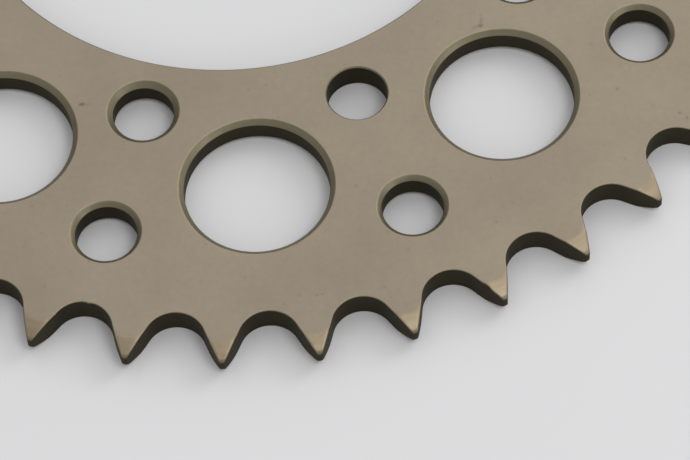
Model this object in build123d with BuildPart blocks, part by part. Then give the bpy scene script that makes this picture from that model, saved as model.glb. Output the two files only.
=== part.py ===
from build123d import *
from math import asin, atan2, pi, sin, sqrt, tan
import os

# Rear chain sprocket: one flat plate, turned at its rim, then toothed and drilled.
# Millimetres. The origin is on the axis of the centre bore, at the middle of the
# plate's thickness, which is the plane that the chain runs in. +Z is the axis.

# Roller chain that the teeth fit, 5/8 by 1/4 inch
chain_pitch = 15.875
roller_diameter = 10.16
tooth_count = 41

# Plate
plate_thickness = 5.3
first_ray = -90.0  # degrees from +X to the ray that has both a tooth gap and a window

# Teeth, seen along the axis
seat_clearance = 0.12  # seat radius beyond the roller's own
seat_angle = 130.0 - 90.0 / tooth_count  # degrees of the seat's arc
flank_factor = 0.12  # flank radius over roller diameter and (tooth count + 2)
crest_radius = 0.56  # round of the tooth crests

# Teeth, seen from the side: relieved so that the chain's plates run on easily
relief_depth = 1.45  # taken off each face at the crests
crest_land = 0.25  # half of the straight height left between the rounds of the nose
crest_stock = 0.05  # rim of the turned blank beyond the crests

# Centre bore, which seats on the wheel carrier's spigot
bore_diameter = 100.0
bore_edge_break = 0.3

# Bolt holes
bolt_count = 5
bore_to_bolts = 10.0  # from the bore's wall to the bolts' axes
bolt_hole_diameter = 10.5
bolt_edge_break = 0.25

# Small lightening holes: some between the bolts, the others outside them
lightening_diameter = 10.5
lightening_chamfer = 0.85
rim_wall = 8.64  # from the tooth gaps' floors to the outer holes

# Windows, the large lightening holes
window_count = 2 * bolt_count
window_diameter = 25.0
window_inset = 0.35  # from the middle of the web in to the windows' centres
window_chamfer = 0.93


def on_ray(angle, distance):
    """Point this far from the origin along the ray at an angle."""
    return Vector(distance, 0).rotate(Axis.Z, angle)


def mirrored(point):
    """The same point on the other side of the +X ray."""
    return Vector(point.X, -point.Y)


# Tooth form worked out from the chain: the seat of a gap that lies on the +X ray
pitch_radius = chain_pitch / (2 * sin(pi / tooth_count))
seat_radius = roller_diameter / 2 + seat_clearance
root_radius = pitch_radius - seat_radius
seat_side = on_ray(180.0 - seat_angle / 2, 1.0)
seat_end = on_ray(0, pitch_radius) + seat_side * seat_radius

# The flank after that gap, and the crest of a tooth that lies on the +X ray: the crest
# is the arc of its radius that meets both flanks smoothly
tooth_angle = 360.0 / tooth_count
flank_radius = flank_factor * roller_diameter * (tooth_count + 2)
flank_centre = on_ray(0, pitch_radius) + seat_side * (seat_radius + flank_radius)
flank_seen = flank_centre.rotate(Axis.Z, -tooth_angle / 2)
crest_middle = flank_seen.X + sqrt((flank_radius - crest_radius) ** 2 - flank_seen.Y**2)
crest_start = flank_seen + (on_ray(0, crest_middle) - flank_seen).normalized() * flank_radius
crest_distance = crest_middle + crest_radius

# One gap and the tooth after it, from the start of this seat to the start of the next
gap_and_tooth = (
    mirrored(seat_end),
    on_ray(0, root_radius),
    seat_end,
    crest_start.rotate(Axis.Z, tooth_angle / 2),
    on_ray(tooth_angle / 2, crest_distance),
    mirrored(crest_start).rotate(Axis.Z, tooth_angle / 2),
    mirrored(seat_end).rotate(Axis.Z, tooth_angle),
)

# Rings of holes, laid out between the bore and the floors of the tooth gaps
bore_radius = bore_diameter / 2
bolt_ring = bore_radius + bore_to_bolts
window_ring = (bore_radius + root_radius) / 2 - window_inset
outer_ring = root_radius - rim_wall - lightening_diameter / 2
window_angle = 360.0 / window_count

# Half section of the rim: each face falls away on an arc of one chain pitch's radius, and
# the nose is as round as its land and that arc's slope at the rim let it be
half = plate_thickness / 2
rim = crest_distance + crest_stock
shoulder = half - relief_depth
relief = Vector(rim - pitch_radius, relief_depth)
relief_slope = atan2(relief.Y, relief.X) + asin(relief.length / 2 / chain_pitch)
nose_radius = (shoulder - crest_land) / tan(pi / 4 - relief_slope / 2)


def draw_tooth(angle):
    """Draw the seat on the ray at an angle, then the tooth after it."""
    start, floor, end, rise, top, fall, next_start = (
        point.rotate(Axis.Z, angle) for point in gap_and_tooth
    )
    ThreePointArc(start, floor, end)
    RadiusArc(end, rise, -flank_radius)
    ThreePointArc(rise, top, fall)
    RadiusArc(fall, next_start, -flank_radius)


with BuildPart() as sprocket:
    # Turned blank, its faces falling away from the pitch circle to a rounded nose
    with BuildSketch(Plane.XZ) as blank_section:
        with BuildLine():
            RadiusArc((pitch_radius, -half), (rim, -shoulder), -chain_pitch)
            Line((rim, -shoulder), (rim, shoulder))
            RadiusArc((rim, shoulder), (pitch_radius, half), -chain_pitch)
            Polyline((pitch_radius, half), (bore_radius, half), (bore_radius, -half), (pitch_radius, -half))
        make_face()
        fillet(blank_section.vertices().group_by(Axis.X)[-1], radius=nose_radius)
        chamfer(blank_section.vertices().group_by(Axis.X)[0], length=bore_edge_break)
    revolve(axis=Axis.Z)

    # Windows, the first one in line with the first tooth gap
    with PolarLocations(window_ring, window_count, start_angle=first_ray):
        Hole(window_diameter / 2)
    chamfer(sprocket.edges(Select.LAST).filter_by(GeomType.CIRCLE), length=window_chamfer)

    # Bolt holes, each on a ray midway between two windows
    with PolarLocations(bolt_ring, bolt_count, start_angle=first_ray + window_angle / 2):
        Hole(bolt_hole_diameter / 2)
    chamfer(sprocket.edges(Select.LAST).filter_by(GeomType.CIRCLE), length=bolt_edge_break)

    # Lightening holes on the bolt circle, midway between the bolts
    with PolarLocations(bolt_ring, bolt_count, start_angle=first_ray - window_angle / 2):
        Hole(lightening_diameter / 2)
    chamfer(sprocket.edges(Select.LAST).filter_by(GeomType.CIRCLE), length=lightening_chamfer)

    # Lightening holes outside them, on every ray midway between two windows
    with PolarLocations(outer_ring, window_count, start_angle=first_ray + window_angle / 2):
        Hole(lightening_diameter / 2)
    chamfer(sprocket.edges(Select.LAST).filter_by(GeomType.CIRCLE), length=lightening_chamfer)

    # Teeth, cut straight through the rim
    with BuildSketch() as toothed_outline:
        with BuildLine():
            for gap in range(tooth_count):
                draw_tooth(first_ray + gap * tooth_angle)
        make_face()
    extrude(amount=plate_thickness, both=True, mode=Mode.INTERSECT)

sprocket.part.label = "sprocket"
os.makedirs("parts", exist_ok=True)
export_step(sprocket.part, "parts/sprocket.step")
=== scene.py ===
from math import asin, atan2, cos, hypot, pi, radians, sin, sqrt, tan

import bmesh
import bpy
from mathutils import Euler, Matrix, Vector


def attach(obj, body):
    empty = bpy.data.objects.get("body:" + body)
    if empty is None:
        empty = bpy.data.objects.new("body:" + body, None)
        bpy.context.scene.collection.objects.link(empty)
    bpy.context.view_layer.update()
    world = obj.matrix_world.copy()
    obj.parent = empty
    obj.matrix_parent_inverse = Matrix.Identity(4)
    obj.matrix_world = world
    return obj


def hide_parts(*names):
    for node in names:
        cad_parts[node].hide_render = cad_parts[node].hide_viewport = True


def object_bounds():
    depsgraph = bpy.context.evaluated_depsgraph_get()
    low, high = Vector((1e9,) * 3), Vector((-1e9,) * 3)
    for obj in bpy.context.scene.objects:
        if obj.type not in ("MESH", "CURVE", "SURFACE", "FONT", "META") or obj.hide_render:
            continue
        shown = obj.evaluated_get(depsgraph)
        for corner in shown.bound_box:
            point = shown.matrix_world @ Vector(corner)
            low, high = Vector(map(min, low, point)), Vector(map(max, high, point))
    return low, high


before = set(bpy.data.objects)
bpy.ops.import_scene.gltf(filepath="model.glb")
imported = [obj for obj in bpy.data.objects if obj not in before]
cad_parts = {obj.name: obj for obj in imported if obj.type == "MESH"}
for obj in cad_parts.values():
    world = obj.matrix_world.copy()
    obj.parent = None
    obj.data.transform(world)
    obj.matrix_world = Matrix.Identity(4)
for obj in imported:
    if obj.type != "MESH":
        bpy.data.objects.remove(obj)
cad_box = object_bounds()

# ---------------------------------------------------------------------------
# The teeth. Forty-one teeth for a 5/8 by 1/4 inch roller chain are milled round
# the rim of a plate 5.3 mm thick. The rim was turned first: each face falls away
# from the pitch circle and ends in a rounded nose, so that the chain's plates run on.
# ---------------------------------------------------------------------------
# Sizes are in millimetres, and meshes in metres
MM = 0.001
chain_pitch, roller_diameter, tooth_count = 15.875, 10.16, 41
plate_thickness = 5.3
half = plate_thickness / 2
first_gap = radians(-90.0)
tooth_angle = 2 * pi / tooth_count
pitch_radius = chain_pitch / (2 * sin(pi / tooth_count))
roller_clearance = 0.12
seat_radius = roller_diameter / 2 + roller_clearance
# The usual rules for the angle of a roller's seat and the radius of a flank
seat_angle = radians(130.0 - 90.0 / tooth_count)
flank_radius = 0.12 * roller_diameter * (tooth_count + 2)
crest_radius = 0.56
# How far each face falls by the rim, half the land between the noses, and how far the rim was
# turned outside the crests
relief_depth, crest_land, crest_stock = 1.45, 0.25, 0.05
edge_round = 0.24
# Steps along the seat, the flank below the pitch circle, the relief, the nose and a soft edge,
# and from flank to flank
seat_steps, flank_steps, relief_steps, nose_steps, edge_steps = 10, 4, 7, 8, 3
columns = 8


def on_ray(angle, distance):
    """The point at this distance from the axis, in this direction."""
    return Vector((distance * cos(angle), distance * sin(angle)))


# One tooth, its middle on +X: the seat, flank and crest arcs of the side that faces -Y
seat_middle = on_ray(-tooth_angle / 2, pitch_radius)
seat_side = on_ray(pi - seat_angle / 2 - tooth_angle / 2, 1.0)
flank_middle = seat_middle + seat_side * (seat_radius + flank_radius)
flank_to_crest = flank_radius - crest_radius
crest_middle = Vector((flank_middle.x + sqrt(flank_to_crest**2 - flank_middle.y**2), 0.0))
crest_distance = crest_middle.x + crest_radius
rim = crest_distance + crest_stock

# Section of the turned rim: the relief arc, and the nose arc that meets it
relief = Vector((rim - pitch_radius, relief_depth))
relief_turn = asin(relief.length / 2 / chain_pitch)
relief_start = atan2(relief.y, relief.x) - relief_turn
relief_end = relief_start + 2 * relief_turn
relief_side = Vector((sin(relief_start), cos(relief_start)))
relief_middle = Vector((pitch_radius, half)) - relief_side * chain_pitch
nose_radius = (half - relief_depth - crest_land) / tan(pi / 4 - relief_end / 2)
nose_reach = chain_pitch - nose_radius
nose_middle = Vector((rim - nose_radius, 0.0))
nose_middle.y = relief_middle.y + sqrt(nose_reach**2 - (nose_middle.x - relief_middle.x) ** 2)
nose_start = relief_middle + (nose_middle - relief_middle) * chain_pitch / nose_reach


def face_height(radius):
    """Height of the front face above the middle of the plate, at a distance from the axis."""
    if radius <= pitch_radius:
        return half
    if radius < nose_start.x:
        return relief_middle.y + sqrt(chain_pitch**2 - (radius - relief_middle.x) ** 2)
    return nose_middle.y + sqrt(nose_radius**2 - (radius - nose_middle.x) ** 2)


def wall_point(middle, radius, distance):
    """A point of the tooth's wall, and the way into the metal from it.

    The wall is the arc of this radius round middle, on its -Y side, and the distance from the
    axis is that of the line where the wall's softened edge meets the face.
    """
    inner_radius = radius - edge_round
    along = (distance**2 - inner_radius**2 + middle.length_squared) / (2 * middle.length)
    off = sqrt(max(distance**2 - along**2, 0.0))
    out = middle.normalized()
    inner = out * along + Vector((out.y, -out.x)) * off
    inwards = (middle - inner).normalized()
    return inner - inwards * edge_round, inwards


def mesh_object(name, build):
    """A new object of this name, whose points and faces build puts in."""
    shape = bmesh.new()
    build(shape)
    mesh = bpy.data.meshes.new(name)
    shape.to_mesh(mesh)
    shape.free()
    piece = bpy.data.objects.new(name, mesh)
    bpy.context.scene.collection.objects.link(piece)
    return piece


def one_tooth(shape):
    """Rim of the plate from the middle of one gap to the middle of the next, open at its foot."""
    # Half of the outline: points of the wall, and the way into the metal from each
    half_outline = []
    for k in range(seat_steps + 1):
        turn = k / seat_steps * seat_angle / 2
        away = on_ray(pi - tooth_angle / 2 - turn, 1.0)
        half_outline.append((seat_middle + away * seat_radius, away))
    seat_top = half_outline[-1][0].length
    for k in range(1, flank_steps):
        distance = seat_top + (pitch_radius - seat_top) * k / flank_steps
        half_outline.append(wall_point(flank_middle, flank_radius, distance))
    first_row = len(half_outline)
    relief_run = nose_start.x - pitch_radius
    rows = [pitch_radius + relief_run * k / relief_steps for k in range(relief_steps)]
    tilt_start = asin((nose_start.x - nose_middle.x) / nose_radius)
    tilt_end = asin((crest_distance - edge_round - nose_middle.x) / nose_radius)
    for k in range(nose_steps + 1):
        tilt = tilt_start + (tilt_end - tilt_start) * k / nose_steps
        rows.append(nose_middle.x + nose_radius * sin(tilt))
    to_crest = (crest_middle - flank_middle).normalized()
    crest_from = (crest_middle + to_crest * (crest_radius - edge_round)).length
    for distance in rows:
        if distance < crest_from:
            half_outline.append(wall_point(flank_middle, flank_radius, distance))
        else:
            half_outline.append(wall_point(crest_middle, crest_radius, distance))
    last_row = len(half_outline)
    outline = list(half_outline)
    for point, inwards in reversed(half_outline[:-1]):
        outline.append((Vector((point.x, -point.y)), Vector((inwards.x, -inwards.y))))
    count = len(outline)

    # How far each ring of the softened edge lies in from the wall and down from the face
    rounding = []
    for k in range(edge_steps + 1):
        turn = pi / 2 * k / edge_steps
        rounding.append((edge_round * (1 - cos(turn)), edge_round * (1 - sin(turn))))
    walls = []
    for side in (1, -1):
        rings = []
        for inset, drop in rounding:
            ring = []
            for point, inwards in outline:
                spot = point + inwards * inset
                ring.append(shape.verts.new((*spot, side * (face_height(spot.length) - drop))))
            rings.append(ring)
        walls.append(rings[0])
        for low, high in zip(rings, rings[1:]):
            for k in range(count - 1):
                corners = (low[k], low[k + 1], high[k + 1], high[k])
                shape.faces.new(corners if side == 1 else corners[::-1])
        # Relief and nose of the tooth: rows across it from flank to flank
        ring = rings[-1]
        previous = None
        for row in range(first_row, last_row):
            left, right = ring[row], ring[count - 1 - row]
            line = [left] * (columns + 1)
            if left is not right:
                start, end = (atan2(v.co.y, v.co.x) for v in (left, right))
                distance = hypot(left.co.x, left.co.y)
                for c in range(1, columns):
                    spot = on_ray(start + (end - start) * c / columns, distance)
                    line[c] = shape.verts.new((*spot, left.co.z))
                line[columns] = right
            if previous:
                for c in range(columns):
                    corners = [previous[c], previous[c + 1], line[c + 1], line[c]]
                    corners = list(dict.fromkeys(corners))
                    shape.faces.new(corners[::-1] if side == 1 else corners)
            previous = line
    front, back = walls
    for k in range(count - 1):
        shape.faces.new((front[k + 1], front[k], back[k], back[k + 1]))
    bmesh.ops.recalc_face_normals(shape, faces=shape.faces)
    bmesh.ops.scale(shape, verts=shape.verts, vec=(MM, MM, MM))


tooth = mesh_object("tooth", one_tooth)

# ---------------------------------------------------------------------------
# The bore and the holes. The centre bore sits on the wheel's carrier, and five bolts
# clamp the plate to it. The windows and the bevelled holes only save weight. All are
# bored and bevelled on both faces, and their edges are softened by deburring.
# ---------------------------------------------------------------------------
bore_radius, bore_bevel, bore_edge = 50.0, 0.3, 0.08
bolt_radius, bolt_bevel, bolt_edge = 5.25, 0.25, 0.07
lightening_radius, lightening_bevel, inner_bevel = 5.25, 0.85, 1.05
window_radius, window_bevel = 12.5, 0.93
# Soft edges of the bevelled holes and windows, where the bevel meets the face and the wall
face_edge, wall_edge = 0.5, 0.35
bore_sides, window_sides, hole_sides = 512, 128, 72
# The holes' circles: bolts outside the bore, windows near mid web, outer holes inside the rim
root_radius = pitch_radius - seat_radius
bore_to_bolts, window_inset, rim_wall = 10.0, 0.35, 8.64
bolt_ring = bore_radius + bore_to_bolts
window_ring = (bore_radius + root_radius) / 2 - window_inset
outer_ring = root_radius - rim_wall - lightening_radius


def softened(before, corner, after, radius):
    """The corner of a section as a round of this radius."""
    back, ahead = (before - corner).normalized(), (after - corner).normalized()
    half_turn = back.angle(ahead) / 2
    reach = radius / tan(half_turn)
    middle = corner + (back + ahead).normalized() * radius / sin(half_turn)
    start = (corner + back * reach - middle).normalized()
    end = (corner + ahead * reach - middle).normalized()
    return [middle + start.slerp(end, k / edge_steps) * radius for k in range(edge_steps + 1)]


def hole(name, radius, bevel, at_face, at_wall, sides):
    """Wall and bevels of one hole, turned about its own axis, with its two softened edges."""
    face, lip = Vector((radius + bevel, half)), Vector((radius, half - bevel))
    section = softened(face + Vector((1, 0)), face, lip, at_face)
    section += softened(face, lip, Vector((radius, 0)), at_wall)
    section += [Vector((p.x, -p.y)) for p in reversed(section)]
    turns = [2 * pi * k / sides for k in range(sides)]

    def build(shape):
        rings = []
        for p in section:
            rings.append([shape.verts.new((p.x * cos(t), p.x * sin(t), p.y)) for t in turns])
        for upper, lower in zip(rings, rings[1:]):
            for k in range(sides):
                following = (k + 1) % sides
                shape.faces.new((upper[k], upper[following], lower[following], lower[k]))
        bmesh.ops.scale(shape, verts=shape.verts, vec=(MM, MM, MM))

    return mesh_object(name, build)


bore = hole("bore", bore_radius, bore_bevel, bore_edge, bore_edge, bore_sides)
bolt_hole = hole("bolt hole", bolt_radius, bolt_bevel, bolt_edge, bolt_edge, hole_sides)
inner_hole = hole("inner hole", lightening_radius, inner_bevel, face_edge, wall_edge, hole_sides)
outer_hole = hole("outer hole", lightening_radius, lightening_bevel, face_edge, wall_edge, hole_sides)
window = hole("window", window_radius, window_bevel, face_edge, wall_edge, window_sides)

# ---------------------------------------------------------------------------
# The finish. The machined aluminium plate is hard anodised all over in one bath: a matt,
# warm khaki grey film, a little lighter on the turned rim. The colour by lean is painted light:
# a painted highlight on the softened edges of the holes, olive painted shade on the bevels,
# and almost black painted shade on the milled walls.
# ---------------------------------------------------------------------------
face_colour = (0.314, 0.266, 0.200, 1.0)
rim_colour = (0.330, 0.268, 0.185, 1.0)
# Painted highlight: a lighter tone on the softened edges just off the flat face
painted_highlight_colour = (0.365, 0.304, 0.222, 1.0)
# Painted shade: a darker tone where the softened edges and the noses lean further
painted_edge_shade_colour = (0.235, 0.195, 0.130, 1.0)
# Painted shade: the lips, the bevels and the milled walls, darker the steeper they stand
painted_lip_shade_colour = (0.115, 0.085, 0.052, 1.0)
painted_bevel_shade_colour = (0.225, 0.203, 0.135, 1.0)
painted_wall_shade_colour = (0.053, 0.0465, 0.0285, 1.0)
pinhole_colour = (0.11, 0.10, 0.075, 1.0)
mark_colour = (0.10, 0.085, 0.080, 1.0)
# The lean of the surface where each colour lies, the painted shade and painted highlight among them:
# 0 is a wall, and 1 is a flat face
wall_stop, face_stop = 0.28, 0.999
painted_light_stops = (
    (0.48, painted_lip_shade_colour),
    (0.64, painted_bevel_shade_colour),
    (0.73, painted_bevel_shade_colour),
    (0.93, painted_edge_shade_colour),
    (0.978, painted_highlight_colour),
)
# The leans over which the dull walls, the rim's colour and the ripple set in
wall_lean, rim_lean, ripple_lean = (0.45, 0.10), (0.73, 0.87), (0.9995, 0.990)
# The rim's own colour sets in over this distance from the pitch circle
rim_fade = (-0.1, 0.3)
# How much the mottle and the lines of the film lighten or darken it
noise_spread, mottle_shades, line_shades = (0.25, 0.75), (0.95, 1.05), (0.92, 1.08)
line_stretch = (45.0, 45.0, 3200.0)
# Share of a cell that a pinhole takes, how rare they are, and how dark
pinhole_reach, pinhole_rarity, pinhole_strength = (0.05, 0.30), 0.76, 0.22
face_roughness, wall_dullness = (0.45, 0.51), 0.15
no_to_yes, yes_to_no = (0.0, 1.0), (1.0, 0.0)


def wire(tree, *links):
    """Joins node sockets, each pair given as output, input."""
    for output, socket in links:
        tree.links.new(output, socket)


def maths(nodes, kind, operation):
    """A node that does one step of working, on numbers, vectors or yes and no."""
    node = nodes.new(kind)
    node.operation = operation
    return node


def noise(nodes, scale, detail, roughness=0.5):
    """A node of even noise about 0.5."""
    node = nodes.new("ShaderNodeTexNoise")
    node.inputs["Scale"].default_value = scale
    node.inputs["Detail"].default_value = detail
    node.inputs["Roughness"].default_value = roughness
    return node


def ranged(nodes, source, target, blend="LINEAR"):
    """A node that turns one range of values into another."""
    node = nodes.new("ShaderNodeMapRange")
    node.interpolation_type = blend
    for name, value in zip(("From Min", "From Max", "To Min", "To Max"), (*source, *target)):
        node.inputs[name].default_value = value
    return node


def bump_map(nodes, strength, distance):
    """A bump node, its distance in millimetres."""
    node = nodes.new("ShaderNodeBump")
    node.inputs["Strength"].default_value = strength
    node.inputs["Distance"].default_value = distance * MM
    return node


def anodised_film():
    """Group: the fine mottle of the film, its faint dark pinholes and the turned lines, as masks."""
    group = bpy.data.node_groups.new("anodised film", "ShaderNodeTree")
    group.interface.new_socket("Point", in_out="INPUT", socket_type="NodeSocketVector")
    for name in ("Mottle", "Pinholes", "Lines", "Grain"):
        group.interface.new_socket(name, in_out="OUTPUT", socket_type="NodeSocketFloat")
    nodes = group.nodes
    start, end = nodes.new("NodeGroupInput"), nodes.new("NodeGroupOutput")
    mottle = noise(nodes, scale=900.0, detail=4.0, roughness=0.6)
    grain = noise(nodes, scale=3500.0, detail=2.0)
    # Lines run round the plate on walls and bevels, and die away to broad patches on the faces
    stretch = nodes.new("ShaderNodeMapping")
    stretch.inputs["Scale"].default_value = line_stretch
    lines = noise(nodes, scale=1.0, detail=3.0)
    # Pinholes: a few of the cells hold a small soft dot, each of its own strength
    cells = nodes.new("ShaderNodeTexVoronoi")
    cells.inputs["Scale"].default_value = 650.0
    near = ranged(nodes, pinhole_reach, yes_to_no, "SMOOTHSTEP")
    chance = nodes.new("ShaderNodeSeparateColor")
    strength = ranged(nodes, (pinhole_rarity, 1.0), no_to_yes)
    dots = maths(nodes, "ShaderNodeMath", "MULTIPLY")
    wire(
        group,
        (start.outputs["Point"], mottle.inputs["Vector"]),
        (start.outputs["Point"], grain.inputs["Vector"]),
        (start.outputs["Point"], cells.inputs["Vector"]),
        (start.outputs["Point"], stretch.inputs["Vector"]),
        (stretch.outputs["Vector"], lines.inputs["Vector"]),
        (cells.outputs["Distance"], near.inputs["Value"]),
        (cells.outputs["Color"], chance.inputs["Color"]),
        (chance.outputs["Red"], strength.inputs["Value"]),
        (near.outputs["Result"], dots.inputs[0]),
        (strength.outputs["Result"], dots.inputs[1]),
        (mottle.outputs["Fac"], end.inputs["Mottle"]),
        (dots.outputs["Value"], end.inputs["Pinholes"]),
        (lines.outputs["Fac"], end.inputs["Lines"]),
        (grain.outputs["Fac"], end.inputs["Grain"]),
    )
    return group


# Marks of use on the front face: x, y, half length, half width, turn in degrees, strength
front_marks = (
    (-29.0, -54.6, 0.95, 0.55, 5, 0.62),
    (-28.2, -54.7, 1.50, 0.60, 0, 0.14),
    (41.1, -45.4, 0.85, 0.60, 30, 0.52),
    (41.3, -44.4, 1.30, 0.55, 74, 0.24),
    (40.2, -45.6, 1.30, 0.50, 25, 0.20),
    (63.3, -60.7, 0.60, 0.50, 60, 0.22),
    (73.4, -66.7, 0.50, 0.45, 0, 0.32),
    (74.5, -67.8, 0.50, 0.45, 0, 0.28),
    (69.0, -64.6, 0.45, 0.35, 40, 0.18),
    (39.9, -85.1, 0.40, 0.35, 0, 0.30),
    (8.6, -96.3, 0.65, 0.42, 20, 0.22),
    (9.5, -96.2, 0.55, 0.35, 0, 0.20),
    (5.6, -96.1, 0.50, 0.40, 120, 0.20),
    (7.6, -97.2, 0.60, 0.35, 0, 0.12),
)
# Height of a mark's spot above and below the face, and the part of it that is darkest
mark_depth, mark_core = 0.5, 0.15


def marks_of_use(marks, height):
    """Group: soft dark spots where the face was touched and knocked, as one mask."""
    group = bpy.data.node_groups.new("marks of use", "ShaderNodeTree")
    group.interface.new_socket("Point", in_out="INPUT", socket_type="NodeSocketVector")
    group.interface.new_socket("Marks", in_out="OUTPUT", socket_type="NodeSocketFloat")
    nodes = group.nodes
    start, end = nodes.new("NodeGroupInput"), nodes.new("NodeGroupOutput")
    so_far = None
    for x, y, length, width, turn, strength in marks:
        spot = nodes.new("ShaderNodeMapping")
        spot.vector_type = "TEXTURE"
        spot.inputs["Location"].default_value = (x * MM, y * MM, height * MM)
        spot.inputs["Rotation"].default_value = (0.0, 0.0, radians(turn))
        spot.inputs["Scale"].default_value = (length * MM, width * MM, mark_depth * MM)
        away = maths(nodes, "ShaderNodeVectorMath", "LENGTH")
        fade = ranged(nodes, (mark_core, 1.0), (strength, 0.0), "SMOOTHSTEP")
        wire(
            group,
            (start.outputs["Point"], spot.inputs["Vector"]),
            (spot.outputs["Vector"], away.inputs[0]),
            (away.outputs["Value"], fade.inputs["Value"]),
        )
        if so_far is None:
            so_far = fade.outputs["Result"]
            continue
        strongest = maths(nodes, "ShaderNodeMath", "MAXIMUM")
        wire(group, (so_far, strongest.inputs[0]), (fade.outputs["Result"], strongest.inputs[1]))
        so_far = strongest.outputs["Value"]
    wire(group, (so_far, end.inputs["Marks"]))
    return group


def tinted(nodes, blend, colour=None):
    """A node that blends two colours: 6 and 7 are its colour inputs, and 2 its colour output."""
    mix = nodes.new("ShaderNodeMix")
    mix.data_type = "RGBA"
    mix.blend_type = blend
    mix.inputs["Factor"].default_value = 1.0
    if colour:
        mix.inputs[7].default_value = colour
    return mix


def anodised_plate():
    """The plate's material: the film's colours with painted shade and a painted highlight by lean,
    its mottle and marks, its sheen and its grain.
    """
    finish = bpy.data.materials.new("anodised plate")
    finish.use_nodes = True
    tree = finish.node_tree
    nodes = tree.nodes
    shader = nodes["Principled BSDF"]
    shader.inputs["Metallic"].default_value = 1.0
    shader.inputs["Specular Tint"].default_value = (0.85, 0.85, 0.85, 1.0)
    place = nodes.new("ShaderNodeTexCoord")
    film = nodes.new("ShaderNodeGroup")
    film.node_tree = anodised_film()
    marks = nodes.new("ShaderNodeGroup")
    marks.node_tree = marks_of_use(front_marks, half)

    # How far the surface leans gives its colour: the face's own colour, and painted shade and a
    # painted highlight as it leans further
    facing = nodes.new("ShaderNodeNewGeometry")
    lean = nodes.new("ShaderNodeSeparateXYZ")
    upright = maths(nodes, "ShaderNodeMath", "ABSOLUTE")
    colour_and_painted_shade = nodes.new("ShaderNodeValToRGB")
    ramp = colour_and_painted_shade.color_ramp
    ramp.interpolation = "EASE"
    ramp.elements[0].position = wall_stop
    ramp.elements[0].color = painted_wall_shade_colour
    ramp.elements[1].position = face_stop
    ramp.elements[1].color = face_colour
    for where, colour in painted_light_stops:
        ramp.elements.new(where).color = colour

    # The turned rim: outside the pitch circle, where the surface still leans upwards
    flatten = maths(nodes, "ShaderNodeVectorMath", "MULTIPLY")
    flatten.inputs[1].default_value = (1.0, 1.0, 0.0)
    from_axis = maths(nodes, "ShaderNodeVectorMath", "LENGTH")
    outside = ranged(nodes, [(pitch_radius + far) * MM for far in rim_fade], no_to_yes)
    upwards = ranged(nodes, rim_lean, no_to_yes, "SMOOTHSTEP")
    on_rim = maths(nodes, "ShaderNodeMath", "MULTIPLY")
    rimmed = tinted(nodes, "MIX", rim_colour)

    # Mottle and lines make the film a little lighter or darker, and small dark spots lie in it
    mottle_shade = ranged(nodes, noise_spread, mottle_shades)
    line_shade = ranged(nodes, noise_spread, line_shades)
    mottled = tinted(nodes, "MULTIPLY")
    lined = tinted(nodes, "MULTIPLY")
    pinholed = tinted(nodes, "MIX", pinhole_colour)
    marked = tinted(nodes, "MIX", mark_colour)
    faint = maths(nodes, "ShaderNodeMath", "MULTIPLY")
    faint.inputs[1].default_value = pinhole_strength

    # The milled walls are duller than the faces
    sheen = ranged(nodes, no_to_yes, face_roughness)
    dull = ranged(nodes, wall_lean, (0.0, wall_dullness))
    roughness = maths(nodes, "ShaderNodeMath", "ADD")

    # The turned rim and the bevels ripple a little, and the whole film has a fine grain
    ripple = noise(nodes, scale=450.0, detail=3.0)
    turned = ranged(nodes, ripple_lean, no_to_yes)
    rippled = maths(nodes, "ShaderNodeMath", "MULTIPLY")
    rough_rim = bump_map(nodes, strength=1.0, distance=0.07)
    bump = bump_map(nodes, strength=0.12, distance=0.02)
    wire(
        tree,
        (place.outputs["Object"], film.inputs["Point"]),
        (place.outputs["Object"], marks.inputs["Point"]),
        (place.outputs["Object"], ripple.inputs["Vector"]),
        (facing.outputs["Normal"], lean.inputs["Vector"]),
        (lean.outputs["Z"], upright.inputs[0]),
        (upright.outputs["Value"], colour_and_painted_shade.inputs["Fac"]),
        (film.outputs["Mottle"], mottle_shade.inputs["Value"]),
        (film.outputs["Lines"], line_shade.inputs["Value"]),
        (place.outputs["Object"], flatten.inputs[0]),
        (flatten.outputs["Vector"], from_axis.inputs[0]),
        (from_axis.outputs["Value"], outside.inputs["Value"]),
        (upright.outputs["Value"], upwards.inputs["Value"]),
        (outside.outputs["Result"], on_rim.inputs[0]),
        (upwards.outputs["Result"], on_rim.inputs[1]),
        (colour_and_painted_shade.outputs["Color"], rimmed.inputs[6]),
        (on_rim.outputs["Value"], rimmed.inputs["Factor"]),
        (rimmed.outputs[2], mottled.inputs[6]),
        (mottle_shade.outputs["Result"], mottled.inputs[7]),
        (mottled.outputs[2], lined.inputs[6]),
        (line_shade.outputs["Result"], lined.inputs[7]),
        (lined.outputs[2], pinholed.inputs[6]),
        (film.outputs["Pinholes"], faint.inputs[0]),
        (faint.outputs["Value"], pinholed.inputs["Factor"]),
        (pinholed.outputs[2], marked.inputs[6]),
        (marks.outputs["Marks"], marked.inputs["Factor"]),
        (marked.outputs[2], shader.inputs["Base Color"]),
        (film.outputs["Mottle"], sheen.inputs["Value"]),
        (upright.outputs["Value"], dull.inputs["Value"]),
        (sheen.outputs["Result"], roughness.inputs[0]),
        (dull.outputs["Result"], roughness.inputs[1]),
        (roughness.outputs["Value"], shader.inputs["Roughness"]),
        (upright.outputs["Value"], turned.inputs["Value"]),
        (ripple.outputs["Fac"], rippled.inputs[0]),
        (turned.outputs["Result"], rippled.inputs[1]),
        (rippled.outputs["Value"], rough_rim.inputs["Height"]),
        (film.outputs["Grain"], bump.inputs["Height"]),
        (rough_rim.outputs["Normal"], bump.inputs["Normal"]),
        (bump.outputs["Normal"], shader.inputs["Normal"]),
    )
    return finish


plate_finish = anodised_plate()

# ---------------------------------------------------------------------------
# The plate. The tooth form repeats round the rim and the holes on their circles, and
# the two flat faces fill what lies between, as on the machined blank.
# ---------------------------------------------------------------------------
window_count, bolt_count = 10, 5
first_window, first_bolt, first_bevelled = radians(-90.0), radians(-72.0), radians(-108.0)
weld_gap = 0.002


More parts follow.
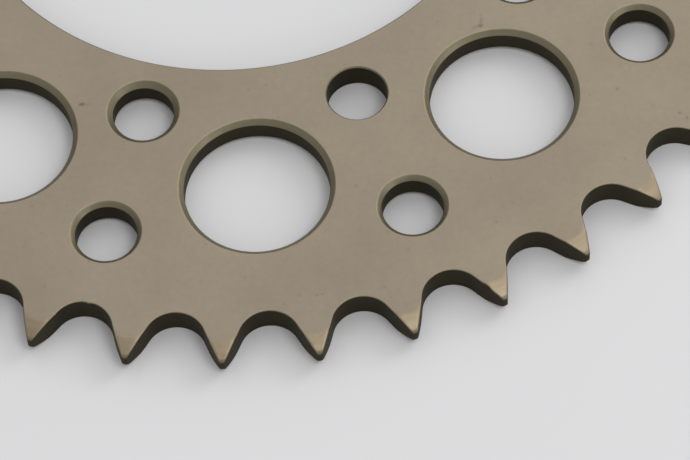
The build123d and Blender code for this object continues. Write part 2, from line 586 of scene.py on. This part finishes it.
def ring_of():
    """Group: copies of a form at even steps on a circle round the axis."""
    group = bpy.data.node_groups.new("ring of", "GeometryNodeTree")
    group.interface.new_socket("Form", in_out="INPUT", socket_type="NodeSocketObject")
    group.interface.new_socket("Count", in_out="INPUT", socket_type="NodeSocketInt")
    group.interface.new_socket("Circle radius", in_out="INPUT", socket_type="NodeSocketFloat")
    group.interface.new_socket("First angle", in_out="INPUT", socket_type="NodeSocketFloat")
    group.interface.new_socket("Copies", in_out="OUTPUT", socket_type="NodeSocketGeometry")
    nodes = group.nodes
    start, end = nodes.new("NodeGroupInput"), nodes.new("NodeGroupOutput")
    form = nodes.new("GeometryNodeObjectInfo")
    index = nodes.new("GeometryNodeInputIndex")
    step = maths(nodes, "ShaderNodeMath", "DIVIDE")
    step.inputs[0].default_value = 2 * pi
    angle = maths(nodes, "ShaderNodeMath", "MULTIPLY_ADD")
    across = maths(nodes, "ShaderNodeMath", "COSINE")
    up = maths(nodes, "ShaderNodeMath", "SINE")
    spot = nodes.new("ShaderNodeCombineXYZ")
    scaled = maths(nodes, "ShaderNodeVectorMath", "SCALE")
    turn = nodes.new("ShaderNodeCombineXYZ")
    points = nodes.new("GeometryNodePoints")
    copies = nodes.new("GeometryNodeInstanceOnPoints")
    wire(
        group,
        (start.outputs["Form"], form.inputs["Object"]),
        (start.outputs["Count"], step.inputs[1]),
        (index.outputs[0], angle.inputs[0]),
        (step.outputs[0], angle.inputs[1]),
        (start.outputs["First angle"], angle.inputs[2]),
        (angle.outputs[0], across.inputs[0]),
        (angle.outputs[0], up.inputs[0]),
        (across.outputs[0], spot.inputs["X"]),
        (up.outputs[0], spot.inputs["Y"]),
        (spot.outputs[0], scaled.inputs[0]),
        (start.outputs["Circle radius"], scaled.inputs["Scale"]),
        (start.outputs["Count"], points.inputs["Count"]),
        (scaled.outputs[0], points.inputs["Position"]),
        (points.outputs[0], copies.inputs["Points"]),
        (form.outputs["Geometry"], copies.inputs["Instance"]),
        (angle.outputs[0], turn.inputs["Z"]),
        (turn.outputs[0], copies.inputs["Rotation"]),
        (copies.outputs[0], end.inputs["Copies"]),
    )
    return group


plate_tree = bpy.data.node_groups.new("sprocket plate", "GeometryNodeTree")
plate_tree.interface.new_socket("Geometry", in_out="INPUT", socket_type="NodeSocketGeometry")
plate_tree.interface.new_socket("Geometry", in_out="OUTPUT", socket_type="NodeSocketGeometry")
nodes = plate_tree.nodes
start, end = nodes.new("NodeGroupInput"), nodes.new("NodeGroupOutput")
plate_inputs = {}


def plate_input(name, kind, value):
    """A named input of the plate's tree, and the value that the modifier gives it."""
    socket = plate_tree.interface.new_socket(name, in_out="INPUT", socket_type=kind)
    plate_inputs[socket.identifier] = value
    return start.outputs[name]


copy_group = ring_of()
everything = nodes.new("GeometryNodeJoinGeometry")
for name, form, count, circle, first in (
    ("Tooth", tooth, tooth_count, 0.0, first_gap + tooth_angle / 2),
    ("Bore", bore, 1, 0.0, 0.0),
    ("Window", window, window_count, window_ring, first_window),
    ("Bolt hole", bolt_hole, bolt_count, bolt_ring, first_bolt),
    ("Inner bevelled hole", inner_hole, bolt_count, bolt_ring, first_bevelled),
    ("Outer bevelled hole", outer_hole, window_count, outer_ring, first_bolt),
):
    ring = nodes.new("GeometryNodeGroup")
    ring.node_tree = copy_group
    ring_form = plate_input(name, "NodeSocketObject", form)
    ring_count = plate_input(name + " count", "NodeSocketInt", count)
    ring_radius = plate_input(name + " circle radius", "NodeSocketFloat", circle * MM)
    ring_first = plate_input(name + " first angle", "NodeSocketFloat", first)
    wire(
        plate_tree,
        (ring_form, ring.inputs["Form"]),
        (ring_count, ring.inputs["Count"]),
        (ring_radius, ring.inputs["Circle radius"]),
        (ring_first, ring.inputs["First angle"]),
        (ring.outputs["Copies"], everything.inputs["Geometry"]),
    )
real = nodes.new("GeometryNodeRealizeInstances")
weld = nodes.new("GeometryNodeMergeByDistance")
joined = nodes.new("GeometryNodeJoinGeometry")
weld_all = nodes.new("GeometryNodeMergeByDistance")
smooth = nodes.new("GeometryNodeSetShadeSmooth")
painted = nodes.new("GeometryNodeSetMaterial")
weld_distance = plate_input("Weld distance", "NodeSocketFloat", weld_gap * MM)
thickness = plate_input("Half thickness", "NodeSocketFloat", half * MM)
# The flat faces fill the loops of open edges, which are those with one face only. Inputs 2 and 3
# of the comparison are the ones for whole numbers
neighbours = nodes.new("GeometryNodeInputMeshEdgeNeighbors")
is_open = nodes.new("FunctionNodeCompare")
is_open.data_type = "INT"
is_open.operation = "EQUAL"
is_open.inputs[3].default_value = 1
where = nodes.new("GeometryNodeInputPosition")
parts_of = nodes.new("ShaderNodeSeparateXYZ")
wire(
    plate_tree,
    (everything.outputs["Geometry"], real.inputs["Geometry"]),
    (real.outputs["Geometry"], weld.inputs["Geometry"]),
    (weld_distance, weld.inputs["Distance"]),
    (weld_distance, weld_all.inputs["Distance"]),
    (neighbours.outputs["Face Count"], is_open.inputs[2]),
    (where.outputs[0], parts_of.inputs[0]),
    (weld.outputs["Geometry"], joined.inputs["Geometry"]),
)
for operation, sign in (("GREATER_THAN", 1), ("LESS_THAN", -1)):
    on_face = maths(nodes, "FunctionNodeCompare", operation)
    both = maths(nodes, "FunctionNodeBooleanMath", "AND")
    edges = nodes.new("GeometryNodeMeshToCurve")
    filled = nodes.new("GeometryNodeFillCurve")
    filled.mode = "TRIANGLES"
    raised = nodes.new("GeometryNodeSetPosition")
    lift = maths(nodes, "ShaderNodeMath", "MULTIPLY")
    lift.inputs[1].default_value = sign
    offset = nodes.new("ShaderNodeCombineXYZ")
    wire(
        plate_tree,
        (parts_of.outputs["Z"], on_face.inputs[0]),
        (is_open.outputs[0], both.inputs[0]),
        (on_face.outputs[0], both.inputs[1]),
        (weld.outputs["Geometry"], edges.inputs["Mesh"]),
        (both.outputs[0], edges.inputs["Selection"]),
        (edges.outputs["Curve"], filled.inputs["Curve"]),
        (filled.outputs["Mesh"], raised.inputs["Geometry"]),
        (thickness, lift.inputs[0]),
        (lift.outputs[0], offset.inputs["Z"]),
        (offset.outputs[0], raised.inputs["Offset"]),
    )
    if sign == 1:
        wire(plate_tree, (raised.outputs["Geometry"], joined.inputs["Geometry"]))
    else:
        flipped = nodes.new("GeometryNodeFlipFaces")
        wire(
            plate_tree,
            (raised.outputs["Geometry"], flipped.inputs["Mesh"]),
            (flipped.outputs["Mesh"], joined.inputs["Geometry"]),
        )
finish_input = plate_input("Finish", "NodeSocketMaterial", plate_finish)
wire(
    plate_tree,
    (joined.outputs["Geometry"], weld_all.inputs["Geometry"]),
    (weld_all.outputs["Geometry"], smooth.inputs["Geometry"]),
    (smooth.outputs["Geometry"], painted.inputs["Geometry"]),
    (finish_input, painted.inputs["Material"]),
    (painted.outputs["Geometry"], end.inputs["Geometry"]),
)

maker = bpy.data.objects.new("plate maker", bpy.data.meshes.new("plate maker"))
bpy.context.scene.collection.objects.link(maker)
modifier = maker.modifiers.new("plate", "NODES")
modifier.node_group = plate_tree
for identifier, value in plate_inputs.items():
    modifier[identifier] = value
# The big faces keep their own direction, and only the softened edges turn
shading = maker.modifiers.new("edges", "WEIGHTED_NORMAL")
shading.weight = 100
shading.keep_sharp = True
bpy.context.view_layer.update()
ready = maker.evaluated_get(bpy.context.evaluated_depsgraph_get())
plate = bpy.data.objects.new("sprocket_plate", bpy.data.meshes.new_from_object(ready))
plate.data.name = "sprocket_plate"
bpy.context.scene.collection.objects.link(plate)
for spare in (maker, tooth, bore, bolt_hole, inner_hole, outer_hole, window):
    bpy.data.objects.remove(spare)

# A nick in the left flank of one tooth and a burr on the edge of a gap, both at the front only:
# where it is, which way the metal went, how far, and the radius of the spot
nick = (on_ray(radians(-68.95), 104.05), radians(21.95), 0.20, 0.9)
burr = (on_ray(radians(-107.57), 98.54), radians(-107.57), 0.20, 0.7)
for place, towards, depth, spread_out in (nick, burr):
    for vertex in plate.data.vertices:
        spot = Vector(vertex.co[:2]) / MM
        near = 1 - (spot - place).length / spread_out
        if near > 0 and vertex.co.z > 0:
            vertex.co.xy += on_ray(towards, depth * MM) * near * (2 - near)
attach(plate, "root")
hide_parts("sprocket")

# ---------------------------------------------------------------------------
# The room: a plain pale floor under the plate, soft light from above and behind,
# and a camera that looks down on the teeth.
# ---------------------------------------------------------------------------
floor_reach, floor_gap = 3.0, 0.01
floor_height = cad_box[0][2] - floor_gap * MM
floor_corners = []
for x, y in ((-1, -1), (1, -1), (1, 1), (-1, 1)):
    floor_corners.append((x * floor_reach, y * floor_reach, floor_height))
floor_mesh = bpy.data.meshes.new("floor")
floor_mesh.from_pydata(floor_corners, [], [(0, 1, 2, 3)])
floor = bpy.data.objects.new("floor", floor_mesh)
bpy.context.scene.collection.objects.link(floor)
floor_paint = bpy.data.materials.new("pale floor")
floor_paint.use_nodes = True
paint = floor_paint.node_tree.nodes["Principled BSDF"]
paint.inputs["Base Color"].default_value = (0.74, 0.74, 0.75, 1.0)
paint.inputs["Roughness"].default_value = 0.9
paint.inputs["Specular IOR Level"].default_value = 0.1
floor_mesh.materials.append(floor_paint)

lit_spot = Vector((0.0, -0.06, 0.0))


def soft_lamp(name, place, size, power):
    """A round lamp that points at the near side of the plate. Its size is in metres."""
    lamp = bpy.data.lights.new(name, "AREA")
    lamp.shape = "DISK"
    lamp.size = size
    lamp.energy = power
    holder = bpy.data.objects.new(name, lamp)
    holder.location = place
    holder.rotation_euler = (lit_spot - Vector(place)).to_track_quat("-Z", "Y").to_euler()
    bpy.context.scene.collection.objects.link(holder)


soft_lamp("front lamp", (0.47, -0.49, 1.36), size=0.6, power=4.2)
soft_lamp("back lamp", (0.20, 0.86, 1.16), size=1.7, power=3.9)
soft_lamp("side lamp", (1.10, 0.58, 0.79), size=0.8, power=4.1)
soft_lamp("low side lamp", (1.27, -0.79, 0.31), size=0.8, power=3.0)

world = bpy.data.worlds.new("studio")
bpy.context.scene.world = world
world.use_nodes = True
sky = world.node_tree.nodes["Background"]
sky.inputs["Color"].default_value = (1.0, 1.0, 1.0, 1.0)
sky.inputs["Strength"].default_value = 0.58

camera_lens = bpy.data.cameras.new("camera")
camera_lens.sensor_width = 36.0
camera_lens.lens = 206.42
camera_lens.clip_start = 0.05
camera = bpy.data.objects.new("camera", camera_lens)
camera.location = Vector((6.0357, -421.3109, 581.5106)) * MM
camera.rotation_euler = Euler((radians(30.1731), radians(1.8615), radians(-4.5995)))
bpy.context.scene.collection.objects.link(camera)
bpy.context.scene.camera = camera
bpy.context.scene.view_settings.view_transform = "Standard"
